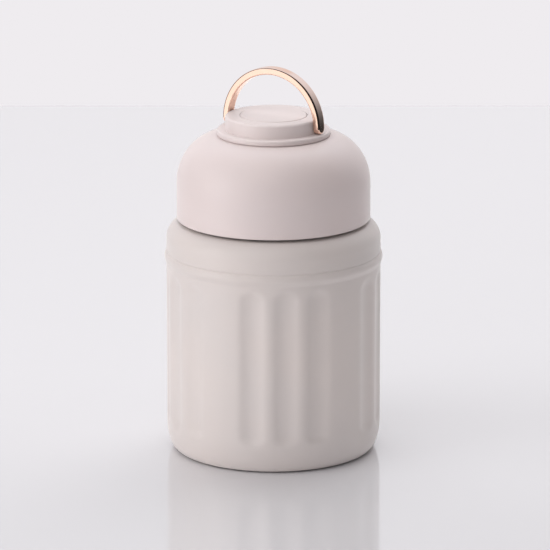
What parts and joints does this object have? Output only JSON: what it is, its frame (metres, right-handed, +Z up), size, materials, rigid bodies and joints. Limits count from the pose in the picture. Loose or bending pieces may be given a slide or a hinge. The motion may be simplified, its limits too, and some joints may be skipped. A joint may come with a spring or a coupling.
{
  "type": "insulated food jar",
  "caption": "Vacuum-insulated food jar: fluted steel body on a rolled base, screw-on domed lid with a press vent button and a swinging half-round bail handle.",
  "frame": {"origin": "middle of the base, on the surface the jar stands on", "axes": "+Z up along the jar's axis, -Y to the front (the bare land between the flutes), +X along the handle's pivots"},
  "size_m": [0.1018, 0.1018, 0.1819],
  "materials": {
    "shell_coat": "matte",
    "lid_coat": "matte",
    "brushed_steel": "satin",
    "copper_foil": "satin",
    "getter_alloy": "matte",
    "solder": "satin",
    "silicone": "matte",
    "white_plastic": "satin",
    "foam": "matte",
    "black_rubber": "matte",
    "spring_steel": "polished",
    "rose_gold": "polished"
  },
  "bodies": {
    "jar": {"outer_shell": "shell_coat", "neck_ring": "brushed_steel", "inner_liner": "brushed_steel", "heat_shield": "copper_foil", "getter_pill": "getter_alloy", "vacuum_base": "brushed_steel", "vacuum_seal": "solder", "base_cap": "brushed_steel", "foot_ring": "silicone"},
    "gasket": {"lip_gasket": "silicone"},
    "lid": {"lid_dome": "lid_coat", "lid_liner": "white_plastic", "lid_foam": "foam", "handle_hub": "lid_coat", "hub_seal": "black_rubber", "hub_screws": "spring_steel", "pivot_bushes": "white_plastic", "vent_spring": "spring_steel"},
    "vent": {"vent_button": "lid_coat", "vent_stem": "brushed_steel", "vent_valve": "silicone", "stem_clip": "spring_steel"},
    "handle": {"bail_handle": "rose_gold", "pivot_pins": "brushed_steel"}
  },
  "joints": [
    {"name": "lid_lift", "type": "slide", "parent": "jar", "child": "gasket", "axis": [0, 0, 1], "range_m": [0, 0.028]},
    {"name": "lid_turn", "type": "hinge", "parent": "gasket", "child": "lid", "pos_m": [0, 0, 0.124], "axis": [0, 0, 1], "range_deg": [0, 1260]},
    {"name": "vent_press", "type": "slide", "parent": "lid", "child": "vent", "axis": [0, 0, -1], "range_m": [0, 0.002], "stiffness_N_per_m": 400, "springref_m": -0.003, "deforming": ["vent_spring"]},
    {"name": "handle_swing", "type": "hinge", "parent": "lid", "child": "handle", "pos_m": [0, 0, 0.15585], "axis": [1, 0, 0], "range_deg": [-90, 90]}
  ],
  "couplings": [
    {"joint": "lid_lift", "follows": "lid_turn", "m_per_rad": 0.0012732}
  ]
}
